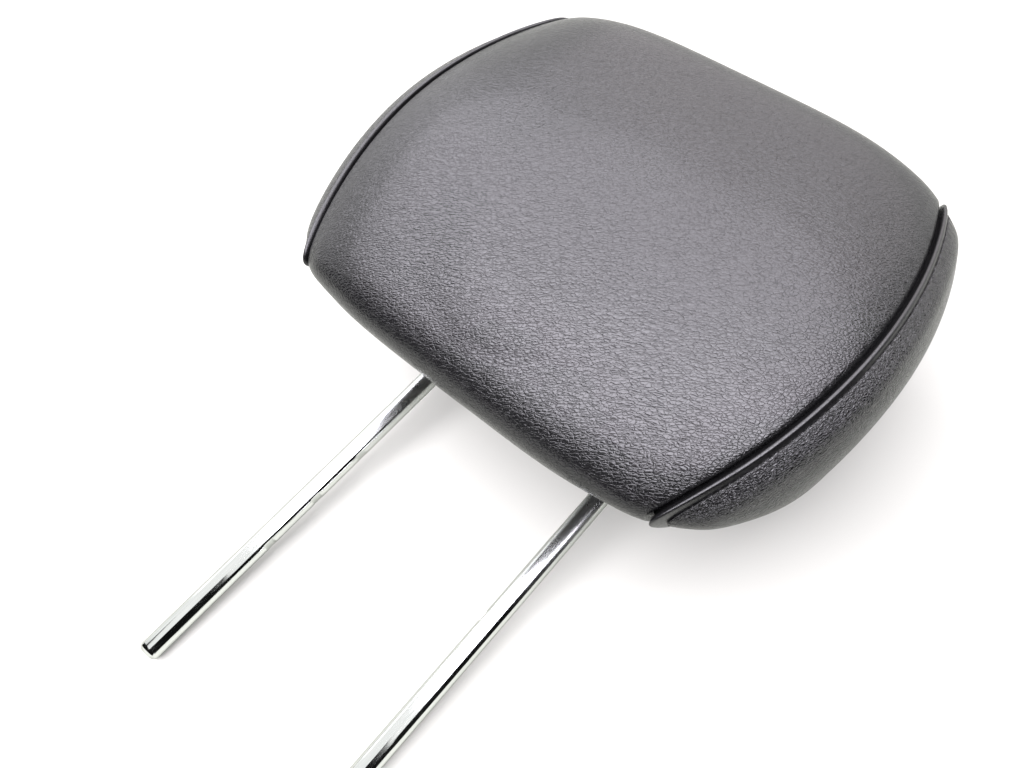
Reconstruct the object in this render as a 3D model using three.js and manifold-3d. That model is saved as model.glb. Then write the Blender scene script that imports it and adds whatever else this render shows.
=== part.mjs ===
import * as THREE from 'three';
import { mergeVertices } from 'three/addons/utils/BufferGeometryUtils.js';
import Module from 'manifold-3d';

// A car headrest with a leather cover on two steel posts, in millimetres.
// Z runs up along the posts, X across the seat, and the head meets the side that faces -Y.
// The origin lies midway between the posts, where they leave the underside of the pad.

// Post frame: one steel rod, bent into two posts and the crossbar inside the pad
const postDiameter = 11;
const postSpacing = 120;
const postLength = 215;
const tipChamfer = 1.8;
const crossbarHeight = 88;
const bendRadius = 24;
const notchDepth = 1.1;
const notchLength = 5;
const lockNotchHeights = [-75, -108, -141];
const stopNotchHeight = -96;

// Pad profile where the side seams run, measured from the post axes and the origin
const seamFront = 95;
const seamBack = 4;
const seamTop = 186;
const seamLip = 41;
const seamLipSetback = -3;
const seamHeel = 48;

// Pad profile down the middle, where the padding is fullest
const crownFront = 113;
const crownBack = 22;
const crownTop = 196;
const crownLip = 52;
const crownLipSetback = 1;
const crownHeel = 10;

// How softly the corners of the profile are rounded, and how far its sides swell
const seamLipReach = 26;
const seamTopReach = 22;
const seamHeelReach = 30;
const crownLipReach = 27;
const crownTopReach = 46;
const crownHeelReach = 40;
const faceSwell = 16;
const backSwell = 6;

// Width across the seams and the shape of the side panels
const seamWidth = 260;
const seamBowRadius = 274;
const widestHeight = 87;
const backTaper = 14;
const sideBulge = 19;
const shoulderWidth = 32;
const crownFlatness = 4.4;

// Cover, seams and the room between neighbouring pieces
const coverThickness = 2.2;
const weltRadius = 3;
const weltProud = 0.8;
const weltRoom = 1;
const clearance = 0.35;

// Opening in the underside, closed between the posts by two hooked strips
const slotMargin = 1.3;
const stripThickness = 1.5;
const stripHookHeight = 3;

// Carrier: two plastic halves screwed together round the crossbar
const carrierTopMargin = 20;
const carrierFoot = 40;
const carrierSideMargin = 20;
const carrierFrontDepth = 22;
const carrierRearDepth = 10;
const carrierWall = 3.5;
const carrierCornerRadius = 10;
const screwDiameter = 4;
const screwLength = 27;
const screwHeadDiameter = 8;
const screwHeadHeight = 2.6;
const screwInset = 9;
const screwRecess = 1.4;

// Fineness of the curved shapes
const loopSteps = 48;
const rodSides = 20;
const weltSides = 7;
const bendSteps = 6;
const cornerSteps = 5;
const screwSides = 16;

const wasm = await Module();
wasm.setup();

const seamHalfWidth = seamWidth / 2;
const postRadius = postDiameter / 2;
const postOffset = postSpacing / 2;
const slotHalfDepth = postRadius + slotMargin;
const slotHalfWidth = postOffset + postRadius + slotMargin;

const leather = { color: 0x2b2a2d, roughness: 0.45, metalness: 0 };
const chrome = { color: 0xd9dbdc, roughness: 0.08, metalness: 1 };
const foamYellow = { color: 0xd8cf9a, roughness: 0.95, metalness: 0 };
const darkPlastic = { color: 0x1d1e20, roughness: 0.6, metalness: 0 };
const zincSteel = { color: 0xb9bcc0, roughness: 0.35, metalness: 1 };

const headrest = new THREE.Group();

function addPiece(name, geometry, finish) {
  const mesh = new THREE.Mesh(geometry, new THREE.MeshStandardMaterial(finish));
  mesh.name = name;
  headrest.add(mesh);
  return mesh;
}

// A profile starts at its first corner, and its fourth one faces it across the pad
const facingShare = 3 / 4;

// Closed skin over rings of equally many points. With wrap the last ring joins the first one,
// otherwise strips close each end, between points that face each other across the ring.
function skin(rings, wrap) {
  const count = rings[0].length;
  const points = rings.flat();
  const faces = [];
  const bands = wrap ? rings.length : rings.length - 1;
  for (let band = 0; band < bands; band++) {
    const next = (band + 1) % rings.length;
    for (let i = 0; i < count; i++) {
      const j = (i + 1) % count;
      faces.push(band * count + i, band * count + j, next * count + j);
      faces.push(band * count + i, next * count + j, next * count + i);
    }
  }
  if (!wrap) {
    capRing(0, false);
    capRing((rings.length - 1) * count, true);
  }
  function capRing(start, forward) {
    const fold = Math.round(count * facingShare);
    const place = (i) => start + (i + count) % count;
    for (let step = 0; step < count / 2; step++) {
      const i = Math.floor(fold / 2) - step;
      const corners = [place(i), place(i - 1), place(fold - i + 1), place(fold - i)];
      for (const picks of [[0, 1, 2], [0, 2, 3]]) {
        const face = picks.map((pick) => corners[pick]);
        if (new Set(face).size === 3) faces.push(...(forward ? face.reverse() : face));
      }
    }
  }
  const geometry = new THREE.BufferGeometry().setFromPoints(points);
  geometry.setIndex(faces);
  if (signedVolume(geometry) < 0) geometry.setIndex(faces.reverse());
  geometry.computeVertexNormals();
  return geometry;
}

function signedVolume(geometry) {
  const position = geometry.getAttribute('position');
  const corner = [0, 1, 2].map(() => new THREE.Vector3());
  let volume = 0;
  for (let i = 0; i < geometry.index.count; i += 3) {
    corner.forEach((point, k) => point.fromBufferAttribute(position, geometry.index.getX(i + k)));
    volume += corner[0].dot(corner[1].cross(corner[2])) / 6;
  }
  return volume;
}

function solidOf(geometry) {
  const bare = geometry.clone();
  bare.deleteAttribute('normal');
  bare.deleteAttribute('uv');
  const merged = mergeVertices(bare, 1e-4);
  return new wasm.Manifold(new wasm.Mesh({
    numProp: 3,
    vertProperties: new Float32Array(merged.getAttribute('position').array),
    triVerts: new Uint32Array(merged.index.array),
  }));
}

function geometryOf(solid) {
  const mesh = solid.getMesh();
  const geometry = new THREE.BufferGeometry();
  geometry.setAttribute('position', new THREE.BufferAttribute(new Float32Array(mesh.vertProperties), 3));
  geometry.setIndex(new THREE.BufferAttribute(new Uint32Array(mesh.triVerts), 1));
  geometry.computeVertexNormals();
  return geometry;
}

function boxBetween(low, high) {
  const geometry = new THREE.BoxGeometry(high[0] - low[0], high[1] - low[1], high[2] - low[2]);
  geometry.translate((low[0] + high[0]) / 2, (low[1] + high[1]) / 2, (low[2] + high[2]) / 2);
  return geometry;
}

// Closed cubic B-spline: smooth all round, and pulled towards its control points
function splineLoop(control, count) {
  const loop = [];
  for (let step = 0; step < count; step++) {
    const along = (step / count) * control.length;
    const first = Math.floor(along);
    const t = along - first;
    const weights = [(1 - t) ** 3, 3 * t ** 3 - 6 * t ** 2 + 4, -3 * t ** 3 + 3 * t ** 2 + 3 * t + 1, t ** 3];
    const point = new THREE.Vector2();
    weights.forEach((weight, k) => {
      point.addScaledVector(control[(first + k - 1 + control.length) % control.length], weight / 6);
    });
    loop.push(point);
  }
  return loop;
}

function blendNumber(from, to, share) {
  return from + (to - from) * share;
}

// Pad profile in the YZ plane. fullness is 0 along the side seams and 1 down the middle;
// depth moves the whole profile inwards.
function padProfile(fullness, depth) {
  const front = blendNumber(seamFront, crownFront, fullness);
  const back = blendNumber(seamBack, crownBack, fullness);
  const top = blendNumber(seamTop, crownTop, fullness);
  const lip = blendNumber(seamLip, crownLip, fullness);
  const setback = blendNumber(seamLipSetback, crownLipSetback, fullness);
  const heel = blendNumber(seamHeel, crownHeel, fullness);
  const slope = (heel + lip) / (front - setback + back);
  const lift = depth * Math.hypot(1, slope);
  const corners = [
    new THREE.Vector2(-front + setback + depth, -lip + lift + slope * depth),
    new THREE.Vector2(-front + depth, top - depth),
    new THREE.Vector2(back - depth, top - depth),
    new THREE.Vector2(back - depth, heel + lift - slope * depth),
  ];
  const shrink = 1 - depth / ((front + back) / 2);
  const reaches = [
    blendNumber(seamLipReach, crownLipReach, fullness) * shrink,
    blendNumber(seamTopReach, crownTopReach, fullness) * shrink,
    blendNumber(seamTopReach, crownTopReach, fullness) * shrink,
    blendNumber(seamHeelReach, crownHeelReach, fullness) * shrink,
  ];
  const swells = [faceSwell, 0, backSwell, 0];
  const control = [];
  corners.forEach((corner, k) => {
    const next = corners[(k + 1) % 4];
    const side = next.clone().sub(corner);
    const length = side.length();
    side.normalize();
    const outward = new THREE.Vector2(-side.y, side.x);
    const pointAlong = (distance) => {
      const share = distance / length;
      return corner.clone().addScaledVector(side, distance)
        .addScaledVector(outward, swells[k] * 4 * share * (1 - share));
    };
    const nextReach = reaches[(k + 1) % 4];
    control.push(corner, pointAlong(reaches[k]), pointAlong(length / 2), pointAlong(length - nextReach));
  });
  return splineLoop(control, loopSteps);
}

// Half the width between the side seams, at a point of a profile
function seamReachAt(point) {
  const bow = seamBowRadius - Math.sqrt(seamBowRadius ** 2 - (point.y - widestHeight) ** 2);
  const rearward = (point.x + seamFront) / (seamFront + seamBack);
  return seamHalfWidth - bow - backTaper * Math.max(rearward, 0) ** 2;
}
const seamReach = padProfile(0, 0).map(seamReachAt);

// Ring of the centre panel at a share of the way from the middle to the seam
function centreRing(across, depth, edgeGap) {
  const profile = padProfile(1 - Math.abs(across) ** crownFlatness, depth);
  return profile.map((point, i) => new THREE.Vector3(across * (seamReach[i] - edgeGap), point.x, point.y));
}

// Ring of a side panel: the seam's profile moved inwards, on a dome that rises from the seam.
// inward is the share of the way from the panel's cut edge, which clears the welt, to its ridge.
const sideHalfDepth = (seamFront + seamBack) / 2;
const cutEdgeRise = (2 * weltRadius + weltRoom) / sideBulge;
const cutEdgeDistance = shoulderWidth * (1 - Math.sqrt(1 - cutEdgeRise ** 2));

function sideRing(hand, inward, depth) {
  const distance = blendNumber(cutEdgeDistance, sideHalfDepth, inward);
  const left = Math.max(1 - distance / shoulderWidth, 0);
  const rise = Math.sqrt(1 - left ** 2);
  const steepness = (sideBulge / shoulderWidth) * left / rise;
  const inset = depth / Math.hypot(1, steepness);
  const profile = padProfile(0, distance + inset * steepness);
  return profile.map((point) => (
    new THREE.Vector3(hand * (seamReachAt(point) + sideBulge * rise - inset), point.x, point.y)
  ));
}

// Stations along the rod's centre line, which runs in the XZ plane from one end to the other.
// Each chamfered end is a smaller station at the tip and a full one above it.
function rodStations(lowest, radius, chamfer) {
  const stations = [];
  const addEnd = (hand, turn) => {
    const end = [{ x: hand * postOffset, z: lowest, turn, radius: radius - chamfer }];
    if (chamfer > 0) end.push({ x: hand * postOffset, z: lowest + chamfer, turn, radius });
    stations.push(...(hand < 0 ? end : end.reverse()));
  };
  addEnd(-1, 0);
  for (const hand of [-1, 1]) {
    for (let step = 0; step <= bendSteps; step++) {
      const swept = (step / bendSteps) * Math.PI / 2;
      const angle = hand < 0 ? swept : Math.PI / 2 - swept;
      stations.push({
        x: hand * (postOffset - bendRadius + bendRadius * Math.cos(angle)),
        z: crossbarHeight - bendRadius + bendRadius * Math.sin(angle),
        turn: hand < 0 ? swept : Math.PI / 2 + swept,
        radius,
      });
    }
  }
  addEnd(1, Math.PI);
  return stations;
}

function rodSolid(lowest, radius, chamfer) {
  const rings = rodStations(lowest, radius, chamfer).map((station) => {
    const ring = [];
    for (let side = 0; side < rodSides; side++) {
      const angle = ((side + 0.5) / rodSides) * Math.PI * 2;
      const outward = station.radius * Math.cos(angle);
      ring.push(new THREE.Vector3(
        station.x - outward * Math.cos(station.turn),
        station.radius * Math.sin(angle),
        station.z + outward * Math.sin(station.turn),
      ));
    }
    return ring;
  });
  return solidOf(skin(rings, false));
}

// Notch on the inner side of a post, with a square lower shoulder and a sloped upper one
function notchCutter(hand, height) {
  const floor = postRadius - notchDepth;
  const outside = postRadius + clearance;
  const outline = new THREE.Shape();
  outline.moveTo(floor, 0);
  outline.lineTo(outside, 0);
  outline.lineTo(outside, notchLength + outside - floor);
  outline.lineTo(floor, notchLength);
  const cutter = new THREE.ExtrudeGeometry(outline, { depth: postDiameter, bevelEnabled: false });
  cutter.translate(0, 0, -postRadius);
  cutter.rotateX(Math.PI / 2);
  if (hand > 0) cutter.rotateZ(Math.PI);
  cutter.translate(hand * postOffset, 0, height);
  return solidOf(cutter);
}

function makePostFrame() {
  let rod = rodSolid(-postLength, postRadius, tipChamfer);
  for (const height of lockNotchHeights) rod = rod.subtract(notchCutter(-1, height));
  rod = rod.subtract(notchCutter(1, stopNotchHeight));
  addPiece('post_frame', geometryOf(rod), chrome);
}

// Carrier
const carrier = {
  halfWidth: postOffset + carrierSideMargin,
  bottom: carrierFoot,
  top: crossbarHeight + carrierTopMargin,
};

// Rounded block of the carrier's outline between two depths, grown by a margin all round
function carrierBlock(from, to, margin) {
  const right = carrier.halfWidth + margin;
  const low = carrier.bottom - margin;
  const high = carrier.top + margin;
  const round = carrierCornerRadius;
  const outline = new THREE.Shape();
  outline.absarc(right - round, low + round, round, -Math.PI / 2, 0);
  outline.absarc(right - round, high - round, round, 0, Math.PI / 2);
  outline.absarc(-right + round, high - round, round, Math.PI / 2, Math.PI);
  outline.absarc(-right + round, low + round, round, Math.PI, Math.PI * 1.5);
  const settings = { depth: to - from, bevelEnabled: false, curveSegments: cornerSteps };
  const block = new THREE.ExtrudeGeometry(outline, settings);
  block.rotateX(Math.PI / 2);
  block.translate(0, to, 0);
  return solidOf(block);
}

const screwPlaces = [-1, 1].flatMap((hand) => [
  { x: hand * (carrier.halfWidth - screwInset), z: carrier.bottom + screwInset },
  { x: hand * (carrier.halfWidth - screwInset), z: carrier.top - screwInset },
]);
const screwHeadFace = carrierRearDepth;

// Turned profile of a screw pointing along -Y, with its head's face at y = 0
function screwProfile(margin, length) {
  const head = screwHeadDiameter / 2 + margin;
  const shank = screwDiameter / 2 + margin;
  const outline = [
    new THREE.Vector2(0, margin),
    new THREE.Vector2(head, margin),
    new THREE.Vector2(head, -screwHeadHeight - margin),
    new THREE.Vector2(shank, -screwHeadHeight - margin),
    new THREE.Vector2(shank, -length - margin),
    new THREE.Vector2(0, -length - margin),
  ];
  return new THREE.LatheGeometry(outline.reverse(), screwSides);
}

function makeCarrier() {
  const parting = clearance / 2;
  const bed = rodSolid(carrierFoot - postDiameter, postRadius + clearance, 0);
  let front = carrierBlock(-carrierFrontDepth, -parting, 0).subtract(bed);
  let rear = carrierBlock(parting, carrierRearDepth, 0).subtract(bed);
  const pocketSide = postOffset - postRadius - clearance - carrierWall;
  const pocketTop = crossbarHeight - postRadius - clearance - carrierWall;
  const pocket = boxBetween(
    [-pocketSide, -carrierFrontDepth + carrierWall, carrier.bottom + carrierWall],
    [pocketSide, carrierRearDepth, pocketTop],
  );
  front = front.subtract(solidOf(pocket));
  for (const { x, z } of screwPlaces) {
    const bore = screwProfile(clearance, screwLength);
    bore.translate(x, screwHeadFace, z);
    front = front.subtract(solidOf(bore));
    rear = rear.subtract(solidOf(bore));
  }
  addPiece('carrier_front', geometryOf(front), darkPlastic);
  addPiece('carrier_rear', geometryOf(rear), darkPlastic);
}

function makeScrews() {
  const slotWidth = screwHeadDiameter / 6;
  const slotReach = screwHeadDiameter / 3;
  let screw = solidOf(screwProfile(0, screwLength));
  for (const [halfX, halfZ] of [[slotReach, slotWidth / 2], [slotWidth / 2, slotReach]]) {
    screw = screw.subtract(solidOf(boxBetween([-halfX, -screwRecess, -halfZ], [halfX, clearance, halfZ])));
  }
  screwPlaces.forEach(({ x, z }, i) => {
    const piece = addPiece(`carrier_screw_${i + 1}`, geometryOf(screw), zincSteel);
    piece.position.set(x, screwHeadFace, z);
  });
}

// Foam, cover and seams
const centreStations = [-1, -0.93, -0.8, -0.62, -0.4, -0.15, 0.15, 0.4, 0.62, 0.8, 0.93, 1];
const sideStations = [0, 0.04, 0.1, 0.2, 0.35, 0.58, 0.82];
const weltDepth = weltRadius - weltProud;

function slotCutter(extraDepth) {
  const half = slotHalfDepth + extraDepth;
  return solidOf(boxBetween([-slotHalfWidth, -half, -crownLip], [slotHalfWidth, half, carrierFoot]));
}

function makeFoam() {
  const depth = coverThickness + clearance;
  const underWelt = weltDepth + weltRadius + clearance;
  const side = (hand) => sideStations.slice(1).map((inward) => sideRing(hand, inward, depth));
  const middle = centreStations.slice(1, -1).map((across) => centreRing(-across, depth, clearance));
  const rings = [
    ...side(1).reverse(),
    centreRing(1, underWelt, clearance),
    ...middle,
    centreRing(-1, underWelt, clearance),
    ...side(-1),
  ];
  const cavity = carrierBlock(-carrierFrontDepth - clearance, carrierRearDepth + clearance, clearance);
  const foam = solidOf(skin(rings, false)).subtract(cavity).subtract(slotCutter(stripThickness));
  addPiece('foam_bun', geometryOf(foam), foamYellow);
}

function makeCentrePanel() {
  const outer = centreStations.map((across) => centreRing(across, 0, clearance));
  const inner = centreStations.map((across) => centreRing(across, coverThickness, clearance));
  const panel = solidOf(skin([...outer, ...inner.reverse()], true)).subtract(slotCutter(0));
  addPiece('centre_panel', geometryOf(panel), leather);
}

function makeSidePanel(hand, name) {
  const outer = sideStations.map((inward) => sideRing(hand, inward, 0));
  const inner = sideStations.map((inward) => sideRing(hand, inward, coverThickness));
  addPiece(name, skin([...inner.reverse(), ...outer], false), leather);
}

// Rolled welt that stands proud between the centre panel and a side panel
function makeWelt(hand, name) {
  const rings = [];
  for (let side = 0; side < weltSides; side++) {
    const angle = (side / weltSides) * Math.PI * 2;
    const profile = padProfile(0, weltDepth + weltRadius * Math.sin(angle));
    const outward = weltRadius * (1 + Math.cos(angle));
    rings.push(profile.map((point, i) => new THREE.Vector3(hand * (seamReach[i] + outward), point.x, point.y)));
  }
  addPiece(name, skin(rings, true), leather);
}

// Closure under the pad: two strips hooked into each other between the posts
function makeClosure() {
  const crownSlope = (crownHeel + crownLip) / (crownFront - crownLipSetback + crownBack);
  const tilt = Math.atan(crownSlope);
  const originHeight = crownSlope * (crownFront - crownLipSetback) - crownLip;
  const halfLength = slotHalfWidth - postDiameter - 2 * slotMargin;
  const reach = (slotHalfDepth - clearance) / Math.cos(tilt) - stripThickness * Math.tan(tilt);
  const wall = stripThickness;
  const hookTop = wall + stripHookHeight;
  const front = [[-reach, 0], [0, 0], [0, hookTop], [-wall, hookTop], [-wall, wall], [-reach, wall]];
  const over = hookTop + clearance;
  const rear = [
    [clearance, 0], [reach, 0], [reach, wall], [clearance + wall, wall], [clearance + wall, over + wall],
    [-2 * wall - clearance, over + wall], [-2 * wall - clearance, wall + clearance],
    [-wall - clearance, wall + clearance], [-wall - clearance, over], [clearance, over],
  ];
  for (const [name, outline] of [['closure_strip_front', front], ['closure_strip_rear', rear]]) {
    const shape = new THREE.Shape(outline.map(([x, y]) => new THREE.Vector2(x, y)));
    const strip = new THREE.ExtrudeGeometry(shape, { depth: 2 * halfLength, bevelEnabled: false });
    strip.rotateX(Math.PI / 2);
    strip.rotateZ(Math.PI / 2);
    strip.translate(-halfLength, 0, 0);
    strip.rotateX(tilt);
    strip.translate(0, 0, originHeight);
    addPiece(name, strip, darkPlastic);
  }
}

makePostFrame();
makeCarrier();
makeScrews();
makeFoam();
makeCentrePanel();
makeSidePanel(-1, 'side_panel_left');
makeSidePanel(1, 'side_panel_right');
makeWelt(-1, 'seam_welt_left');
makeWelt(1, 'seam_welt_right');
makeClosure();

export default headrest;
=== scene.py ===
# %% [markdown]
# # A leather car headrest
# The real object is a foam pad in a sewn leather cover, carried by one chromed rod that is bent
# into two posts. This lesson dresses the engineering model of it: the cover, its seams and the
# bright posts are modelled here, and the hidden parts only get their finishes.

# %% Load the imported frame
import math

import bpy
import numpy as np
from mathutils import Matrix, Quaternion, Vector
from mathutils.kdtree import KDTree


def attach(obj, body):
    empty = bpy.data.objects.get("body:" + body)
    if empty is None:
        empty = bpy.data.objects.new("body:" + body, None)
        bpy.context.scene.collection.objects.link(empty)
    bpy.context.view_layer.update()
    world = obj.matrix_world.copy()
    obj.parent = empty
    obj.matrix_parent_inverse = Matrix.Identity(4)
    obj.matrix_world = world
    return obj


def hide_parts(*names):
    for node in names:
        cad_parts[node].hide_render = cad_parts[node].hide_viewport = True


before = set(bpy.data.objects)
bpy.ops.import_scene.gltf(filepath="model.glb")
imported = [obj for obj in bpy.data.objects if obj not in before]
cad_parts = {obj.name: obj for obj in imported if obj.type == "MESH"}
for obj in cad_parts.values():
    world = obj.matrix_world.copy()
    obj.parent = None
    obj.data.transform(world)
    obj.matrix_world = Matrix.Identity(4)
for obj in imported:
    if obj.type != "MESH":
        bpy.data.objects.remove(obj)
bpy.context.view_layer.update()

scene = bpy.context.scene
MM = 0.001

# %% [markdown]
# ## Camera
# The photograph looks down on a headrest that lies on its back, with the posts towards the
# viewer. Here the headrest keeps its upright frame, so the camera comes round to the face
# and is rolled about its own axis until the picture matches.

# %% Place the camera
CAMERA_PLACE = Vector((149.9, -400.3, -136.9)) * MM
CAMERA_AIM = Vector((22.0, -100.0, -23.7)) * MM
CAMERA_ROLL = math.radians(44.27)
CAMERA_LENS = 28.475

camera_data = bpy.data.cameras.new("camera")
camera_data.lens = CAMERA_LENS
camera = bpy.data.objects.new("camera", camera_data)
scene.collection.objects.link(camera)
camera.location = CAMERA_PLACE
camera.rotation_mode = "QUATERNION"
upright = (CAMERA_AIM - CAMERA_PLACE).to_track_quat("-Z", "Y")
camera.rotation_quaternion = upright @ Quaternion((0, 0, 1), CAMERA_ROLL)
scene.camera = camera
print("camera is", round((CAMERA_AIM - CAMERA_PLACE).length, 3), "m from the face")

# %% [markdown]
# ## Material helpers
# Every finish below is a small node graph. Short helpers keep the graphs readable: they add
# and join nodes, start a material, place a pattern on the piece, and turn a value into a
# share, a colour, a blend or a bump.


# %% Helpers for node materials
def new_node(material, kind, **settings):
    node = material.node_tree.nodes.new(kind)
    for name, value in settings.items():
        if name in node.inputs:
            node.inputs[name].default_value = value
        else:
            setattr(node, name.lower(), value)
    return node


def join(material, source, target):
    material.node_tree.links.new(source, target)


def start_material(name, **surface):
    material = bpy.data.materials.new(name)
    material.use_nodes = True
    shader = material.node_tree.nodes["Principled BSDF"]
    for socket, value in surface.items():
        shader.inputs[socket.replace("_", " ")].default_value = value
    return material, shader


def object_place(material, scale=(1, 1, 1), turn=(0, 0, 0)):
    coordinates = new_node(material, "ShaderNodeTexCoord")
    mapping = new_node(material, "ShaderNodeMapping", Scale=scale, Rotation=turn)
    join(material, coordinates.outputs["Object"], mapping.inputs["Vector"])
    return mapping.outputs["Vector"]


def ramp(material, source, stops):
    node = new_node(material, "ShaderNodeValToRGB")
    while len(node.color_ramp.elements) < len(stops):
        node.color_ramp.elements.new(0.5)
    for element, (place, value) in zip(node.color_ramp.elements, stops):
        element.position = place
        colour = value if isinstance(value, tuple) else (value, value, value)
        element.color = (*colour, 1)
    join(material, source, node.inputs["Fac"])
    return node.outputs["Color"]


def share_between(material, source, low, high):
    node = new_node(material, "ShaderNodeMapRange")
    node.inputs["From Min"].default_value = low
    node.inputs["From Max"].default_value = high
    join(material, source, node.inputs["Value"])
    return node.outputs["Result"]


def blend_values(material, first, second, share, operation="MIX"):
    node = new_node(material, "ShaderNodeMix", data_type="RGBA", blend_type=operation)
    node.inputs["Factor"].default_value = share
    join(material, first, node.inputs["A"])
    join(material, second, node.inputs["B"])
    return node.outputs["Result"]


def add_bump(material, shader, height, distance, strength=1.0):
    bump = new_node(material, "ShaderNodeBump", Distance=distance, Strength=strength)
    join(material, height, bump.inputs["Height"])
    join(material, bump.outputs["Normal"], shader.inputs["Normal"])


# %% [markdown]
# ## Leather
# The cover is black leather with a fine pebble grain and a satin finish. Each pebble is a cell
# between shallow creases, so a Voronoi texture read as distance to the edge gives the creases,
# noise bends them so that no cell is straight, and a finer noise adds pores. The hide was
# stretched along one direction, so the cells are longer that way: the mapping turns and
# stretches the pattern for each panel. Beside a seam the leather also gathers in pleats.

# %% Leather finishes
LEATHER_COLOUR = (0.0078, 0.0075, 0.0086)
# Painted shade: the darker colour that the crease valleys get.
CREASE_SHADE_COLOUR = (0.0045, 0.0045, 0.005)
PEBBLES_PER_METRE = 720
FOLDS_PER_METRE = 330
PORES_PER_METRE = 2600
CELL_WANDER = 0.0021
FOLD_SHARE = 0.36
PORE_SHARE = 0.14
PLEAT_SHARE = 0.6
PLEAT_SCALE = 0.62
PLEAT_FADE = (2.5, 9.0)


def seam_creases(material):
    place = new_node(material, "ShaderNodeAttribute", attribute_name="seam_place")
    pleats = new_node(material, "ShaderNodeTexNoise", Scale=PLEAT_SCALE, Detail=2.0,
                      Roughness=0.45)
    join(material, place.outputs["Vector"], pleats.inputs["Vector"])
    folds = ramp(material, pleats.outputs["Fac"], [(0.30, 0.0), (0.44, 1.0), (0.62, 1.0)])
    far = new_node(material, "ShaderNodeAttribute", attribute_name="seam_far")
    eased = new_node(material, "ShaderNodeMath", operation="MAXIMUM")
    join(material, folds, eased.inputs[0])
    join(material, share_between(material, far.outputs["Fac"], *PLEAT_FADE), eased.inputs[1])
    return eased.outputs["Value"]


def leather(name, turn, stretch, grain_depth, gloss, pleated=False):
    material, shader = start_material(name, Coat_Weight=0.15, Coat_Roughness=0.14, Coat_IOR=1.5)
    turned = object_place(material, turn=turn)
    stretched = new_node(material, "ShaderNodeMapping", Scale=stretch)
    join(material, turned, stretched.inputs["Vector"])
    place = stretched.outputs["Vector"]

    wander = new_node(material, "ShaderNodeTexNoise", Scale=PEBBLES_PER_METRE * 0.5, Detail=2.0)
    join(material, place, wander.inputs["Vector"])
    bent = new_node(material, "ShaderNodeVectorMath", operation="MULTIPLY_ADD")
    bent.inputs[1].default_value = (CELL_WANDER, CELL_WANDER, CELL_WANDER)
    join(material, wander.outputs["Color"], bent.inputs[0])
    join(material, place, bent.inputs[2])

    pebbles = new_node(material, "ShaderNodeTexVoronoi", feature="DISTANCE_TO_EDGE",
                       Scale=PEBBLES_PER_METRE, Randomness=0.95)
    folds = new_node(material, "ShaderNodeTexVoronoi", feature="DISTANCE_TO_EDGE",
                     Scale=FOLDS_PER_METRE, Randomness=1.0)
    for cells in (pebbles, folds):
        join(material, bent.outputs["Vector"], cells.inputs["Vector"])
    small = ramp(material, pebbles.outputs["Distance"], [(0.0, 0.0), (0.12, 0.55), (0.42, 1.0)])
    large = ramp(material, folds.outputs["Distance"], [(0.0, 0.0), (0.07, 0.6), (0.3, 1.0)])
    creases = blend_values(material, small, large, FOLD_SHARE)
    if pleated:
        pleats = seam_creases(material)
        creases = blend_values(material, creases, pleats, PLEAT_SHARE, "MULTIPLY")
    pores = new_node(material, "ShaderNodeTexNoise", Scale=PORES_PER_METRE, Detail=3.0)
    join(material, place, pores.inputs["Vector"])
    grain = blend_values(material, creases, pores.outputs["Fac"], PORE_SHARE)
    add_bump(material, shader, grain, grain_depth)

    # Painted shade: the creases get a darker base colour and a weaker reflection, as if their
    # valleys lay in shade.
    join(material, ramp(material, creases, [(0.1, CREASE_SHADE_COLOUR), (0.6, LEATHER_COLOUR)]),
         shader.inputs["Base Color"])
    join(material, ramp(material, creases, [(0.05, 0.36), (0.5, 0.64)]),
         shader.inputs["Specular IOR Level"])
    handling = new_node(material, "ShaderNodeTexNoise", Scale=14.0, Detail=4.0, Roughness=0.6)
    join(material, turned, handling.inputs["Vector"])
    polish = ramp(material, handling.outputs["Fac"], [(0.3, gloss - 0.03), (0.7, gloss + 0.05)])
    worn = ramp(material, creases, [(0.0, gloss + 0.2), (0.6, gloss)])
    join(material, blend_values(material, polish, worn, 0.5), shader.inputs["Roughness"])
    return material


GRAIN_TURN = math.radians(42)
SIDE_TURN = math.radians(12)
face_leather = leather("leather_face", turn=(0, GRAIN_TURN, 0), stretch=(0.6, 1.0, 1.15),
                       grain_depth=0.00023, gloss=0.18, pleated=True)
side_leather = leather("leather_side", turn=(SIDE_TURN, 0, 0), stretch=(1.5, 1.5, 0.7),
                       grain_depth=0.00045, gloss=0.13, pleated=True)
welt_leather = leather("leather_welt", turn=(0, 0, 0), stretch=(1.3, 1.3, 0.8),
                       grain_depth=0.00004, gloss=0.27)
print("leather finishes:", [m.name for m in (face_leather, side_leather, welt_leather)])

# %% [markdown]
# ## The pad's shape
# The cover follows the foam, and the foam follows two profiles: one along the side seams and a
# fuller one down the middle. Each profile has four corners that a closed B-spline rounds off.
# The same driving sizes as in the engineering model are used, so the sewn cover lands on it.

# %% Pad profiles, in millimetres
SEAM = {"front": 95, "back": 4, "top": 186, "lip": 41, "setback": -3, "heel": 48}
CROWN = {"front": 113, "back": 22, "top": 196, "lip": 52, "setback": 1, "heel": 10}
SEAM_REACH = {"lip": 26, "top": 22, "heel": 30}
CROWN_REACH = {"lip": 27, "top": 46, "heel": 40}
FACE_SWELL = 16
BACK_SWELL = 6
SEAM_HALF_WIDTH = 130
SEAM_BOW_RADIUS = 274
WIDEST_HEIGHT = 87
BACK_TAPER = 14
SIDE_BULGE = 19
SHOULDER_WIDTH = 32
CROWN_FLATNESS = 4.4
AROUND = 160


def spline_loop(control, count):
    along = np.arange(count) / count * len(control)
    first = along.astype(int)
    t = (along - first)[:, None]
    weights = [(1 - t) ** 3, 3 * t**3 - 6 * t**2 + 4, -3 * t**3 + 3 * t**2 + 3 * t + 1, t**3]
    pulled = [w * control[(first + k - 1) % len(control)] for k, w in enumerate(weights)]
    return sum(pulled) / 6


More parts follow.
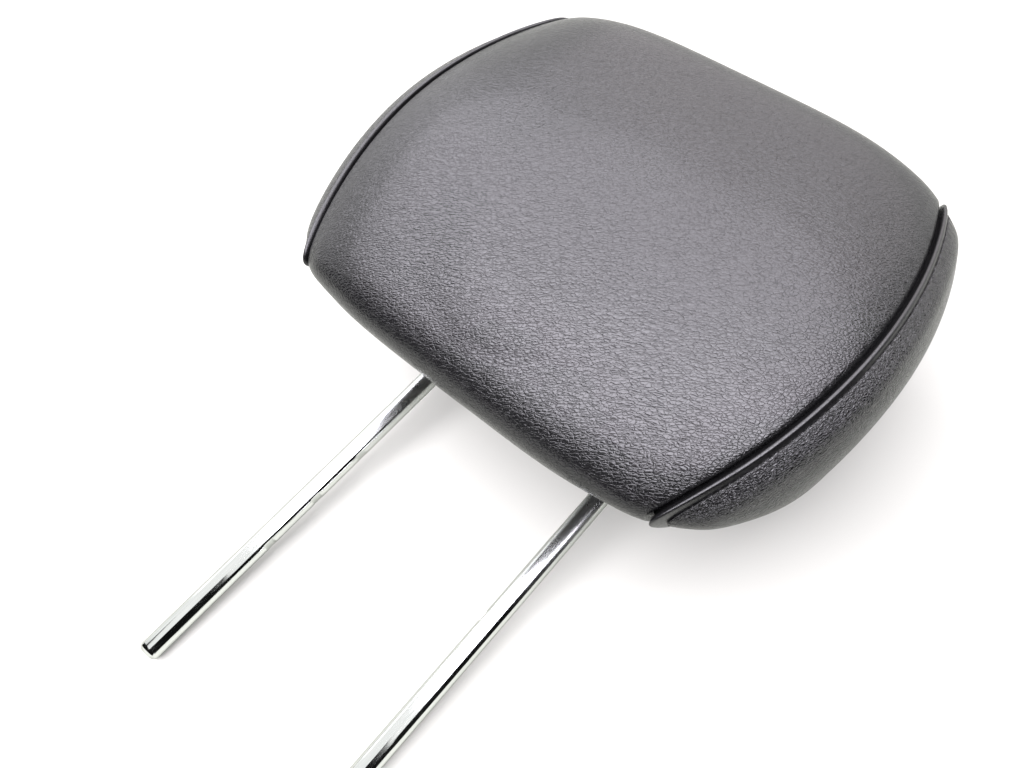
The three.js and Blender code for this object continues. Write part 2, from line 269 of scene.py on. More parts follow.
def pad_profile(fullness, depth, count=AROUND):
    size = {k: SEAM[k] + (CROWN[k] - SEAM[k]) * fullness for k in SEAM}
    reach = {k: SEAM_REACH[k] + (CROWN_REACH[k] - SEAM_REACH[k]) * fullness for k in SEAM_REACH}
    slope = (size["heel"] + size["lip"]) / (size["front"] - size["setback"] + size["back"])
    lift = depth * math.hypot(1, slope)
    corners = np.array([
        (-size["front"] + size["setback"] + depth, -size["lip"] + lift + slope * depth),
        (-size["front"] + depth, size["top"] - depth),
        (size["back"] - depth, size["top"] - depth),
        (size["back"] - depth, size["heel"] + lift - slope * depth),
    ])
    shrink = 1 - depth / ((size["front"] + size["back"]) / 2)
    reaches = [reach[k] * shrink for k in ("lip", "top", "top", "heel")]
    control = []
    for k, swell in enumerate((FACE_SWELL, 0, BACK_SWELL, 0)):
        side = corners[(k + 1) % 4] - corners[k]
        length = np.linalg.norm(side)
        side /= length
        outward = np.array([-side[1], side[0]])
        control.append(corners[k])
        for distance in (reaches[k], length / 2, length - reaches[(k + 1) % 4]):
            share = distance / length
            control.append(corners[k] + side * distance + outward * swell * 4 * share * (1 - share))
    return spline_loop(np.array(control), count)


def seam_reach(profile):
    rise = profile[:, 1] - WIDEST_HEIGHT
    bow = SEAM_BOW_RADIUS - np.sqrt(SEAM_BOW_RADIUS**2 - rise**2)
    rearward = (profile[:, 0] + SEAM["front"]) / (SEAM["front"] + SEAM["back"])
    return SEAM_HALF_WIDTH - bow - BACK_TAPER * np.maximum(rearward, 0) ** 2


def with_across(across, profile):
    return np.column_stack([across, profile])


seam_loop = with_across(seam_reach(pad_profile(0, 0)), pad_profile(0, 0))
seam_length = np.linalg.norm(np.roll(seam_loop, -1, 0) - seam_loop, axis=1).sum()
print("each side seam is", round(seam_length), "mm long")

# %% [markdown]
# ## From rings to a mesh
# A cover panel is a stack of rings. One helper joins neighbouring rings with quads. Another
# closes an end with quads from the ring's front to its back, and one face each for its top
# and its underside, so that the mesh is a closed body while it is inflated.


# %% Mesh helpers
def only(obj):
    bpy.ops.object.select_all(action="DESELECT")
    obj.select_set(True)
    bpy.context.view_layer.objects.active = obj


def mesh_object(name, points, faces, material):
    mesh = bpy.data.meshes.new(name)
    mesh.from_pydata([tuple(p) for p in points], [], faces)
    mesh.validate()
    obj = bpy.data.objects.new(name, mesh)
    scene.collection.objects.link(obj)
    mesh.materials.append(material)
    return obj


def ring_faces(ring_count, count, wrap=False):
    faces = []
    for ring in range(ring_count if wrap else ring_count - 1):
        low, high = ring * count, (ring + 1) % ring_count * count
        for i in range(count):
            j = (i + 1) % count
            faces.append((low + i, low + j, high + j, high + i))
    return faces


def cap_faces(start, count):
    corner = count // 4
    faces = []
    for front in range(corner):
        back = 3 * corner - front
        faces.append(tuple(start + k for k in (front, front + 1, back - 1, back)))
    faces.append(tuple(start + k for k in range(corner, 2 * corner + 1)))
    faces.append(tuple(start + k % count for k in range(3 * corner, count + 1)))
    return faces


def face_outwards(obj):
    only(obj)
    bpy.ops.object.mode_set(mode="EDIT")
    bpy.ops.mesh.select_all(action="SELECT")
    bpy.ops.mesh.normals_make_consistent(inside=False)
    bpy.ops.object.mode_set(mode="OBJECT")


def apply_modifier(obj, kind, **settings):
    modifier = obj.modifiers.new(kind.lower(), kind)
    for name, value in settings.items():
        setattr(modifier, name, value)
    only(obj)
    bpy.ops.object.modifier_apply(modifier=modifier.name)


def vertex_array(obj):
    places = np.zeros(len(obj.data.vertices) * 3)
    obj.data.vertices.foreach_get("co", places)
    return places.reshape(-1, 3)


def normal_array(obj):
    normals = np.zeros(len(obj.data.vertices) * 3)
    obj.data.vertex_normals.foreach_get("vector", normals)
    return normals.reshape(-1, 3)


def set_vertices(obj, places):
    obj.data.vertices.foreach_set("co", np.ascontiguousarray(places).ravel())
    obj.data.update()


def ease(low, high, value):
    share = np.clip((value - low) / (high - low), 0, 1)
    return share * share * (3 - 2 * share)


# %% [markdown]
# ## Inflating the cover
# A sewn cover is pulled tight by the foam inside, so each panel crowns between its seams. The
# panel starts a little slack, Blender's cloth solver inflates it while its sewn edges are
# pinned, and the result is kept as a mesh. The foam sets bounds on how far the leather can
# settle or stand off, which keeps the pad its real size.

# %% Cloth helper
SEWN_GROUP = "sewn"
SLACK = 2.5
SETTLE_FRAMES = 20
INFLATION = 35
DEEPEST_SINK = 0.45
HIGHEST_RISE = 0.8
SIDE_DRIFT = 0.8


def inflate(obj, held, room, pressure):
    start = vertex_array(obj)
    outward = normal_array(obj)
    group = obj.vertex_groups.new(name=SEWN_GROUP)
    for index, weight in enumerate(held):
        if weight > 0:
            group.add([index], float(weight), "REPLACE")
    cloth = obj.modifiers.new("cloth", "CLOTH")
    settings = cloth.settings
    settings.quality = 5
    settings.mass = 0.3
    settings.tension_stiffness = settings.compression_stiffness = 20
    settings.shear_stiffness = 8
    settings.bending_stiffness = 2
    settings.use_pressure = True
    settings.uniform_pressure_force = pressure
    settings.vertex_group_mass = SEWN_GROUP
    settings.effector_weights.gravity = 0
    cloth.point_cache.frame_end = SETTLE_FRAMES
    for step in range(1, SETTLE_FRAMES + 1):
        scene.frame_set(step)
    evaluated = obj.evaluated_get(bpy.context.evaluated_depsgraph_get())
    moved = (vertex_array(evaluated) - start) / MM
    obj.modifiers.remove(cloth)
    obj.vertex_groups.remove(group)
    scene.frame_set(1)
    rise = (moved * outward).sum(axis=1)
    drift = moved - outward * rise[:, None]
    drift_share = np.minimum(1, SIDE_DRIFT / np.maximum(np.linalg.norm(drift, axis=1), 1e-6))
    kept = np.clip(rise, room - DEEPEST_SINK, room + HIGHEST_RISE)
    set_vertices(obj, start + (outward * kept[:, None] + drift * drift_share[:, None]) * MM)
    free = rise[np.asarray(held) < 0.2]
    print(obj.name, "rose", round(free.mean(), 2), "mm on average over the free leather, from",
          round(free.min(), 2), "to", round(free.max(), 2))


# %% [markdown]
# ## Centre panel
# One long piece of leather runs round the face, the top, the back and the underside. At each
# side it dives into the seam beside the welt, which gives the dark groove of the real pad.
# The rings are close together on that roll and a few millimetres apart elsewhere.

# %% Rings of the centre panel
ROLL_WIDTH = 3.0
ROLL_DEPTH = 3.3
SEAM_GAP = 0.3
ROLL_STEPS = 8
FREE_STATIONS = 44
SLACK_REACH = (10, 40)


def centre_ring(edge_distance, hand, depth):
    across = hand * (1 - edge_distance / SEAM_HALF_WIDTH)
    profile = pad_profile(1 - abs(across) ** CROWN_FLATNESS, depth)
    return with_across(across * (seam_loop[:, 0] - SEAM_GAP), profile)


def centre_slack(edge_distance):
    return SLACK * ease(*SLACK_REACH, edge_distance)


roll_angles = [step / ROLL_STEPS * math.pi / 2 for step in range(ROLL_STEPS + 1)]
roll = [(ROLL_WIDTH * (1 - math.cos(a)), ROLL_DEPTH * (1 - math.sin(a))) for a in roll_angles]
free_gap = (SEAM_HALF_WIDTH - ROLL_WIDTH) * 2 / FREE_STATIONS
centre_rings = [centre_ring(distance, -1, depth) for distance, depth in roll]
edge_distances = [distance for distance, _ in roll]
for step in range(1, FREE_STATIONS):
    across = -SEAM_HALF_WIDTH + ROLL_WIDTH + step * free_gap
    distance = SEAM_HALF_WIDTH - abs(across)
    centre_rings.append(centre_ring(distance, math.copysign(1, across), centre_slack(distance)))
    edge_distances.append(distance)
centre_rings += [centre_ring(distance, 1, depth) for distance, depth in reversed(roll)]
edge_distances += [distance for distance, _ in reversed(roll)]
print("centre panel:", len(centre_rings), "rings of", AROUND, "points")

# %% [markdown]
# The foam pushes this panel out everywhere except at its seams and round the slot in the
# underside, where the closure strips hold it. So those parts are pinned, less and less away
# from them, and the rest is inflated.

# %% Build and inflate the centre panel
SLOT_HALF_WIDTH = 68
SLOT_HALF_DEPTH = 7
SLOT_SURROUND = 25
SLOT_HOLD = (12, 30)
SEWN_REACH = (10, 30)
UNDERSIDE_FROM = 0.78

centre_points = np.concatenate(centre_rings)
sewn = 1 - ease(*SEWN_REACH, np.repeat(edge_distances, AROUND))
round_share = np.tile(np.arange(AROUND) / AROUND, len(centre_rings))
beside_slot = np.abs(centre_points[:, 0]) < SLOT_HALF_WIDTH + SLOT_SURROUND
underside = (round_share > UNDERSIDE_FROM) & beside_slot
near_slot = underside * (1 - ease(*SLOT_HOLD, np.abs(centre_points[:, 1])))
held = np.maximum(sewn, near_slot)
last = (len(centre_rings) - 1) * AROUND
wall = ring_faces(len(centre_rings), AROUND)
centre = mesh_object("leather_centre_panel", centre_points * MM,
                     wall + cap_faces(0, AROUND) + cap_faces(last, AROUND), face_leather)
face_outwards(centre)
room = centre_slack(np.repeat(edge_distances, AROUND))
inflate(centre, held, room, pressure=INFLATION)

# %% [markdown]
# The end caps were only there to hold the air, so they go now. One subdivision smooths the
# panel. The slot for the posts is cut by bisecting along its four sides and deleting what
# lies between, and Solidify gives the leather its thickness.

# %% Open, smooth and cut the centre panel
LEATHER_THICKNESS = 1.6
SLOT_CEILING = 45
CUT_MARGIN = 10


def select_faces(obj, chosen):
    only(obj)
    bpy.ops.object.mode_set(mode="EDIT")
    bpy.ops.mesh.select_mode(type="FACE")
    bpy.ops.mesh.select_all(action="DESELECT")
    bpy.ops.object.mode_set(mode="OBJECT")
    obj.data.polygons.foreach_set("select", chosen)
    bpy.ops.object.mode_set(mode="EDIT")


def keep_faces(obj, keep):
    select_faces(obj, [not keep(face) for face in obj.data.polygons])
    bpy.ops.mesh.delete(type="FACE")
    bpy.ops.object.mode_set(mode="OBJECT")


def inside_slot(place, margin):
    return (abs(place.x) < (SLOT_HALF_WIDTH + margin) * MM
            and abs(place.y) < (SLOT_HALF_DEPTH + margin) * MM
            and place.z < SLOT_CEILING * MM)


def cut_slot(obj):
    sides = [((SLOT_HALF_WIDTH, 0, 0), (1, 0, 0)), ((-SLOT_HALF_WIDTH, 0, 0), (1, 0, 0)),
             ((0, SLOT_HALF_DEPTH, 0), (0, 1, 0)), ((0, -SLOT_HALF_DEPTH, 0), (0, 1, 0))]
    for place, across in sides:
        select_faces(obj, [inside_slot(face.center, CUT_MARGIN) for face in obj.data.polygons])
        bpy.ops.mesh.bisect(plane_co=Vector(place) * MM, plane_no=across)
        bpy.ops.object.mode_set(mode="OBJECT")
    keep_faces(obj, lambda face: not inside_slot(face.center, 0))


keep_faces(centre, lambda face: face.index < len(wall))
apply_modifier(centre, "SUBSURF", levels=1, render_levels=1)
cut_slot(centre)
apply_modifier(centre, "SOLIDIFY", thickness=LEATHER_THICKNESS * MM, offset=-1)
centre.data.shade_smooth()
print("centre panel has", len(centre.data.polygons), "faces")

# %% [markdown]
# ## Side panels
# Each side panel is a dome. Its leather starts in the stitch line, a valley beside the welt,
# and rises over the foam. The topstitching pulls it in at every stitch, so after the dome is
# inflated the leather is lifted a little between one stitch and the next.

# %% Side panel rings
SIDE_DISTANCES = [0.6, 0.8, 1.0, 1.5, 2.4, 4.0, 6.2, 8.6, 11.4, 15, 19, 23.5, 28.5, 33.5, 38.5]
STITCH_DISTANCE = 1.0
STITCH_PITCH = 4.4
VALLEY_DEPTH = 1.3
VALLEY_REACH = (1.5, 7)
TUCK_DEPTH = 3.2
SIDE_SLACK_REACH = (8, 26)
SIDE_SEWN_REACH = (5, 14)
PUCKER_HEIGHT = 0.3
PUCKER_REACH = 3.2
PUCKER_END = 3.5
PUCKER_FALL = 1.3
LEAST_PUCKER = 0.55
PUCKER_VARIATION = 0.9
SEAM_STEPS = 2400


def side_ring(hand, distance, depth, count=AROUND):
    left = max(1 - distance / SHOULDER_WIDTH, 0)
    rise = math.sqrt(1 - left**2)
    steepness = SIDE_BULGE / SHOULDER_WIDTH * left / rise
    inset = depth / math.hypot(1, steepness)
    profile = pad_profile(0, distance + inset * steepness, count)
    return with_across(hand * (seam_reach(profile) + SIDE_BULGE * rise - inset), profile)


def valley(distance):
    if distance < STITCH_DISTANCE:
        share = (STITCH_DISTANCE - distance) / (STITCH_DISTANCE - SIDE_DISTANCES[0])
        return VALLEY_DEPTH + (TUCK_DEPTH - VALLEY_DEPTH) * share
    return VALLEY_DEPTH * (1 - ease(*VALLEY_REACH, distance))


def side_slack(distance):
    return SLACK * ease(*SIDE_SLACK_REACH, distance)


def pucker(obj, line, seed):
    tree = KDTree(len(line))
    for index, place in enumerate(line):
        tree.insert(place * MM, index)
    tree.balance()
    steps = np.linalg.norm(np.roll(line, -1, 0) - line, axis=1)
    length = np.concatenate([[0], np.cumsum(steps)[:-1]])
    stitches = round(steps.sum() / STITCH_PITCH)
    phase = length / steps.sum() * stitches * 2 * math.pi
    chance = np.random.default_rng(seed)
    uneven = LEAST_PUCKER + PUCKER_VARIATION * chance.random(stitches + 1)
    places = vertex_array(obj)
    normals = normal_array(obj)
    push = np.zeros(len(places))
    for index, place in enumerate(places):
        _, nearest, distance = tree.find(place)
        far = distance / MM / PUCKER_REACH
        if far < PUCKER_END:
            turn = phase[nearest]
            strength = uneven[int(turn / (2 * math.pi)) % stitches]
            wave = (0.5 - 0.5 * math.cos(turn)) * strength
            push[index] = PUCKER_HEIGHT * wave * math.exp(-(far**PUCKER_FALL))
    set_vertices(obj, places + normals * (push * MM)[:, None])


def side_panel(hand, name):
    rings = [side_ring(hand, distance, valley(distance) + side_slack(distance))
             for distance in SIDE_DISTANCES]
    points = np.concatenate(rings)
    wall = ring_faces(len(rings), AROUND)
    inner = (len(rings) - 1) * AROUND
    lid = cap_faces(inner, AROUND)
    panel = mesh_object(name, points * MM, wall + lid + cap_faces(0, AROUND), side_leather)
    face_outwards(panel)
    distances = np.repeat(SIDE_DISTANCES, AROUND)
    sewn_share = 1 - ease(*SIDE_SEWN_REACH, distances)
    inflate(panel, sewn_share, side_slack(distances), pressure=INFLATION)
    keep_faces(panel, lambda face: face.index < len(wall) + len(lid))
    apply_modifier(panel, "SUBSURF", levels=2, render_levels=2)
    pucker(panel, side_ring(hand, STITCH_DISTANCE, VALLEY_DEPTH, SEAM_STEPS), seed=5 + hand)
    apply_modifier(panel, "SOLIDIFY", thickness=LEATHER_THICKNESS * MM, offset=-1)
    panel.data.shade_smooth()
    return panel


side_left = side_panel(-1, "leather_side_left")
side_right = side_panel(1, "leather_side_right")
print("side panel has", len(side_right.data.polygons), "faces")

# %% [markdown]
# ## Rolled welts
# Where the panels meet, the seam allowance is folded under the side leather and stands up as a
# smooth ridge right beside the groove. From the ridge it falls away to the row of
# topstitching. It is one closed section, drawn in the plane across the seam and swept round.
# A slow wave in its height keeps it from looking extruded, as hand-guided sewing does.

# %% Sweep the welts
WELT_SECTION = [(0.30, -1.3), (0.38, -0.5), (0.62, 0.12), (1.05, 0.5), (1.6, 0.58), (2.15, 0.36),
                (2.6, -0.06), (3.0, -0.66), (3.35, -1.36), (3.62, -2.1), (3.78, -2.8), (3.8, -3.5),
                (3.4, -4.0), (2.6, -4.2), (1.2, -4.1), (-0.9, -3.7), (-0.9, -2.9), (0.2, -2.2)]
WELT_AROUND = 640
WELT_WAVE = 0.14
WAVES_ROUND = range(11, 27)
WAVE_HEIGHTS = (-1.5, 0.1)
OUTER_SHARE = (0.5, 4.5)


def welt(hand, name, seed):
    chance = np.random.default_rng(seed)
    turns = np.arange(WELT_AROUND) / WELT_AROUND * 2 * math.pi
    wave = sum(chance.normal() * np.sin(k * turns + chance.random() * 6) for k in WAVES_ROUND)
    wave *= WELT_WAVE / np.abs(wave).max()
    edge_reach = seam_reach(pad_profile(0, 0, WELT_AROUND))
    loops = []
    for across, height in WELT_SECTION:
        profile = pad_profile(0, -height, WELT_AROUND)
        reach = edge_reach + (seam_reach(profile) - edge_reach) * ease(*OUTER_SHARE, across)
        swing = wave * ease(*WAVE_HEIGHTS, height)
        loops.append(with_across(hand * (reach + across + swing), profile))
    faces = ring_faces(len(WELT_SECTION), WELT_AROUND, wrap=True)
    obj = mesh_object(name, np.concatenate(loops) * MM, faces, welt_leather)
    face_outwards(obj)
    apply_modifier(obj, "SUBSURF", levels=1, render_levels=1)
    obj.data.shade_smooth()
    return obj


welt_left = welt(-1, "rolled_welt_left", 11)
welt_right = welt(1, "rolled_welt_right", 12)
print("welt has", len(welt_right.data.polygons), "faces")

# %% [markdown]
# Leather gathers a little where it is sewn, in short pleats across the seam. The panels store
# how far each point is from its seam and where along the seam it lies, and the leather's
# crease pattern reads both, so the pleats also get the creases' painted shade.

# %% Store each point's place along the seam
PLEAT_LENGTHENING = 3.2
MARKS_ROUND = 1600


def mark_seam(obj):
    profile = pad_profile(0, 0, MARKS_ROUND)
    right_seam = with_across(seam_reach(profile), profile)
    both_seams = np.concatenate([right_seam * (-1, 1, 1), right_seam])
    tree = KDTree(len(both_seams))
    for index, place in enumerate(both_seams):
        tree.insert(place * MM, index)
    tree.balance()
    radius = seam_length / (2 * math.pi)
    spots = np.zeros((len(obj.data.vertices), 3))
    for index, place in enumerate(vertex_array(obj)):
        _, nearest, distance = tree.find(place)
        turn = nearest / MARKS_ROUND * 2 * math.pi
        spots[index] = (radius * math.cos(turn), radius * math.sin(turn),
                        distance / MM / PLEAT_LENGTHENING)
    along = obj.data.attributes.new("seam_place", "FLOAT_VECTOR", "POINT")
    along.data.foreach_set("vector", spots.ravel())
    far = obj.data.attributes.new("seam_far", "FLOAT", "POINT")
    far.data.foreach_set("value", spots[:, 2] * PLEAT_LENGTHENING)


for panel in (centre, side_left, side_right):
    mark_seam(panel)

# %% [markdown]
# ## Topstitching
# A row of stitches holds the rolled seam down. One stitch is modelled: a short, fat thread
# whose ends dive into the leather. It is then copied all round the valley.

# %% Thread material
PLY_DARK = (0.012, 0.012, 0.013)
PLY_LIGHT = (0.03, 0.029, 0.03)
thread, thread_shader = start_material("bonded_thread", Roughness=0.55, Specular_IOR_Level=0.35)
thread_place = object_place(thread)
ply = new_node(thread, "ShaderNodeTexNoise", Scale=2600.0, Detail=2.0)
join(thread, thread_place, ply.inputs["Vector"])
thread_tone = ramp(thread, ply.outputs["Fac"], [(0.3, PLY_DARK), (0.7, PLY_LIGHT)])
join(thread, thread_tone, thread_shader.inputs["Base Color"])
add_bump(thread, thread_shader, ply.outputs["Fac"], 0.0001)

# %% [markdown]
# A stitch shows as a short arch of thread between two needle holes. Here it is a thin cylinder
# laid along the seam, with its ends bent down and thinned. The copies are placed by the seam's
# own length, which keeps their pitch even, and each is turned to stand on the leather.

# %% Model one stitch and copy it round the seam
STITCH_LENGTH = 3.1
THREAD_RADIUS = 0.22
STITCH_LIFT = -0.02
STITCH_DIVE = 0.6
STITCH_TAPER = 0.35

bpy.ops.object.select_all(action="DESELECT")
bpy.ops.mesh.primitive_cylinder_add(vertices=7, radius=THREAD_RADIUS * MM,
                                    depth=STITCH_LENGTH * MM, end_fill_type="TRIFAN")
stitch = bpy.context.active_object
bpy.ops.object.mode_set(mode="EDIT")
bpy.ops.mesh.select_all(action="SELECT")
bpy.ops.mesh.subdivide(number_cuts=1)
bpy.ops.transform.rotate(value=math.pi / 2, orient_axis="Y", center_override=(0, 0, 0))
bpy.ops.object.mode_set(mode="OBJECT")
stitch_points = vertex_array(stitch) / MM
stitch_faces = [tuple(face.vertices) for face in stitch.data.polygons]
along_stitch = stitch_points[:, 0] / (STITCH_LENGTH / 2)
stitch_points[:, 2] += STITCH_LIFT - STITCH_DIVE * along_stitch**2
stitch_points[:, 1:] *= (1 - STITCH_TAPER * np.abs(along_stitch) ** 3)[:, None]
bpy.data.objects.remove(stitch)


def stitch_row(hand, name):
    line = side_ring(hand, STITCH_DISTANCE, VALLEY_DEPTH, SEAM_STEPS)
    above = side_ring(hand, STITCH_DISTANCE, VALLEY_DEPTH - 1, SEAM_STEPS)
    steps = np.linalg.norm(np.roll(line, -1, 0) - line, axis=1)
    length = np.concatenate([[0], np.cumsum(steps)[:-1]])
    count = round(steps.sum() / STITCH_PITCH)
    points, faces = [], []
    for number in range(count):
        middle = int(np.searchsorted(length, number / count * steps.sum())) % SEAM_STEPS
        forward = line[(middle + 3) % SEAM_STEPS] - line[middle - 3]
        forward /= np.linalg.norm(forward)
        up = above[middle] - line[middle]
        up -= forward * (up @ forward)
        up /= np.linalg.norm(up)
        beside = np.cross(up, forward)
        offset = len(points) * len(stitch_points)
        points.append(line[middle] + stitch_points @ np.array([forward, beside, up]))
        faces += [tuple(offset + k for k in face) for face in stitch_faces]
    obj = mesh_object(name, np.concatenate(points) * MM, faces, thread)
    face_outwards(obj)
    obj.data.shade_smooth()
    return obj, count


stitches_left, stitch_count = stitch_row(-1, "topstitching_left")
stitches_right, _ = stitch_row(1, "topstitching_right")
print("stitches on each side:", stitch_count)

# %% [markdown]
# ## Chromed posts
# The rod is drawn as a smith would bend it: a round blank starts at one tip, runs up, is spun
# through the first bend, crosses over, is spun down again and ends in the other chamfered tip.
# The lock and stop notches are then cut with small wedges. The chrome is mirror-bright low
# down and duller near the pad, where the cover rubs it, with fine draw marks along the rod.

# %% Chrome
CHROME_DARK = (0.78, 0.805, 0.785)
CHROME_LIGHT = (0.87, 0.885, 0.87)
EDGE_TINT = (0.5, 0.5, 0.48, 1)
DULLING_HEIGHTS = (-0.085, -0.03)
chrome, chrome_shader = start_material("post_chrome", Metallic=1.0, Specular_Tint=EDGE_TINT)
chrome_place = object_place(chrome, scale=(1, 1, 0.06))
draw_marks = new_node(chrome, "ShaderNodeTexNoise", Scale=900.0, Detail=3.0)
join(chrome, chrome_place, draw_marks.inputs["Vector"])
chrome_wear = new_node(chrome, "ShaderNodeTexNoise", Scale=60.0, Detail=5.0)
join(chrome, object_place(chrome), chrome_wear.inputs["Vector"])
polished = ramp(chrome, chrome_wear.outputs["Fac"], [(0.35, 0.05), (0.75, 0.12)])
rubbed = ramp(chrome, chrome_wear.outputs["Fac"], [(0.35, 0.26), (0.75, 0.36)])
post_height = new_node(chrome, "ShaderNodeSeparateXYZ")
join(chrome, object_place(chrome), post_height.inputs["Vector"])
dulled = new_node(chrome, "ShaderNodeMix", data_type="RGBA")
join(chrome, share_between(chrome, post_height.outputs["Z"], *DULLING_HEIGHTS),
     dulled.inputs["Factor"])
join(chrome, polished, dulled.inputs["A"])
join(chrome, rubbed, dulled.inputs["B"])
join(chrome, dulled.outputs["Result"], chrome_shader.inputs["Roughness"])
join(chrome, ramp(chrome, draw_marks.outputs["Fac"], [(0.3, CHROME_DARK), (0.7, CHROME_LIGHT)]),
     chrome_shader.inputs["Base Color"])
add_bump(chrome, chrome_shader, draw_marks.outputs["Fac"], 0.00002, 0.5)

# %% [markdown]
# A tube bender works along the rod, and so does this cell: it extrudes the end of the blank and
# spins it round each bend. Extra rings beside the notches and the tips keep the shading of the
# long straight faces clean.

# %% Bend the rod
POST_RADIUS = 5.5
POST_OFFSET = 60
POST_LENGTH = 215
TIP_CHAMFER = 1.8
CROSSBAR_HEIGHT = 88
BEND_RADIUS = 24
ROD_SIDES = 64
BEND_STEPS = 12
NOTCH_LENGTH = 5
LOCK_NOTCHES = (-75, -108, -141)
STOP_NOTCH = -96

bpy.ops.object.select_all(action="DESELECT")
bpy.ops.mesh.primitive_circle_add(
    vertices=ROD_SIDES, radius=(POST_RADIUS - TIP_CHAMFER) * MM, fill_type="NGON",
    location=(0, 0, 0))
rod = bpy.context.active_object
rod.name = "bent_post_rod"
rod.data.transform(Matrix.Translation(Vector((-POST_OFFSET, 0, -POST_LENGTH)) * MM))


def pull_rod(x, z):
    bpy.ops.mesh.extrude_region_move(
        TRANSFORM_OT_translate={"value": (x * MM, 0, z * MM), "orient_type": "GLOBAL"})


def widen_rod(ratio, centre):
    bpy.ops.transform.resize(value=(ratio, ratio, 1), center_override=Vector(centre) * MM)


full = POST_RADIUS / (POST_RADIUS - TIP_CHAMFER)
bend_height = CROSSBAR_HEIGHT - BEND_RADIUS
notch_reach = NOTCH_LENGTH / 2 + 1
levels = [TIP_CHAMFER - POST_LENGTH, 2 * TIP_CHAMFER - POST_LENGTH]
for height in sorted((*LOCK_NOTCHES, STOP_NOTCH)):
    levels += [height - notch_reach, height + notch_reach]
levels.append(bend_height)
bpy.ops.object.mode_set(mode="EDIT")
bpy.ops.mesh.select_all(action="SELECT")
pull_rod(0, TIP_CHAMFER)
widen_rod(full, (-POST_OFFSET, 0, TIP_CHAMFER - POST_LENGTH))
for low, high in zip(levels, levels[1:]):
    pull_rod(0, high - low)
bpy.ops.mesh.spin(steps=BEND_STEPS, angle=math.pi / 2, axis=(0, 1, 0),
                  center=Vector((BEND_RADIUS - POST_OFFSET, 0, bend_height)) * MM)
pull_rod(2 * (POST_OFFSET - BEND_RADIUS), 0)
bpy.ops.mesh.spin(steps=BEND_STEPS, angle=math.pi / 2, axis=(0, 1, 0),
                  center=Vector((POST_OFFSET - BEND_RADIUS, 0, bend_height)) * MM)
for low, high in zip(levels[-2::-1], levels[:0:-1]):
    pull_rod(0, low - high)
pull_rod(0, -TIP_CHAMFER)
widen_rod(1 / full, (POST_OFFSET, 0, -POST_LENGTH))
bpy.ops.mesh.select_all(action="SELECT")
bpy.ops.mesh.remove_doubles(threshold=0.00001)
bpy.ops.mesh.normals_make_consistent(inside=False)
bpy.ops.object.mode_set(mode="OBJECT")
print("rod spans", [round(c, 4) for c in rod.dimensions], "m")

# %% [markdown]
# Three notches in one post let the seat's lock hold the pad at three heights, and one in the
# other post stops it from being pulled out. Each has one square and one sloping side, so the
# cutter is a block with one edge pulled up. A small bevel then catches light on every edge.

# %% Cut the notches
NOTCH_DEPTH = 1.1
WEDGE_SIZE = 6


def cut_notch(hand, height):
    floor = POST_RADIUS - NOTCH_DEPTH
    bpy.ops.object.select_all(action="DESELECT")
    bpy.ops.mesh.primitive_cube_add(size=1)
    cutter = bpy.context.active_object
    middle = Vector((hand * (POST_OFFSET - floor - WEDGE_SIZE / 2), 0, height + NOTCH_LENGTH / 2))
    size = Vector((WEDGE_SIZE, 4 * POST_RADIUS, NOTCH_LENGTH)) * MM
    cutter.data.transform(Matrix.Translation(middle * MM) @ Matrix.Diagonal((*size, 1)))
    for vertex in cutter.data.vertices:
        away = (hand * POST_OFFSET * MM - vertex.co.x) * hand > (floor + 1) * MM
        if away and vertex.co.z > (height + 1) * MM:
            vertex.co.z += WEDGE_SIZE * MM
    apply_modifier(rod, "BOOLEAN", operation="DIFFERENCE", object=cutter, solver="EXACT")
    bpy.data.objects.remove(cutter)


for height in LOCK_NOTCHES:
    cut_notch(-1, height)
cut_notch(1, STOP_NOTCH)
apply_modifier(rod, "BEVEL", width=0.25 * MM, segments=2, limit_method="ANGLE",
               angle_limit=math.radians(28), harden_normals=False)
rod.data.materials.clear()
rod.data.materials.append(chrome)
only(rod)
bpy.ops.object.shade_smooth_by_angle(angle=math.radians(32))
print("rod has", len(rod.data.polygons), "faces")

# %% [markdown]
# ## Hidden parts
# The carrier, its screws, the foam and the closure strips keep their engineering shapes. They
# hardly show, but each still gets the finish of the real thing.


# %% Finishes for the engineering nodes
def moulded_plastic(name, colour):
    material, shader = start_material(name, Specular_IOR_Level=0.4)
    place = object_place(material)
    spark = new_node(material, "ShaderNodeTexNoise", Scale=1400.0, Detail=3.0)
    join(material, place, spark.inputs["Vector"])
    darker = tuple(0.75 * c for c in colour)
    join(material, ramp(material, spark.outputs["Fac"], [(0.35, darker), (0.7, colour)]),
         shader.inputs["Base Color"])
    join(material, ramp(material, spark.outputs["Fac"], [(0.3, 0.48), (0.7, 0.66)]),
         shader.inputs["Roughness"])
    add_bump(material, shader, spark.outputs["Fac"], 0.00008)
    return material


def open_foam():
    material, shader = start_material("open_cell_foam", Specular_IOR_Level=0.2, Roughness=0.95)
    place = object_place(material)
    cells = new_node(material, "ShaderNodeTexVoronoi", Scale=900.0)
    join(material, place, cells.inputs["Vector"])
    join(material, ramp(material, cells.outputs["Distance"],
                        [(0.1, (0.45, 0.38, 0.2)), (0.6, (0.78, 0.7, 0.45))]),
         shader.inputs["Base Color"])
    add_bump(material, shader, cells.outputs["Distance"], 0.0005)
    return material


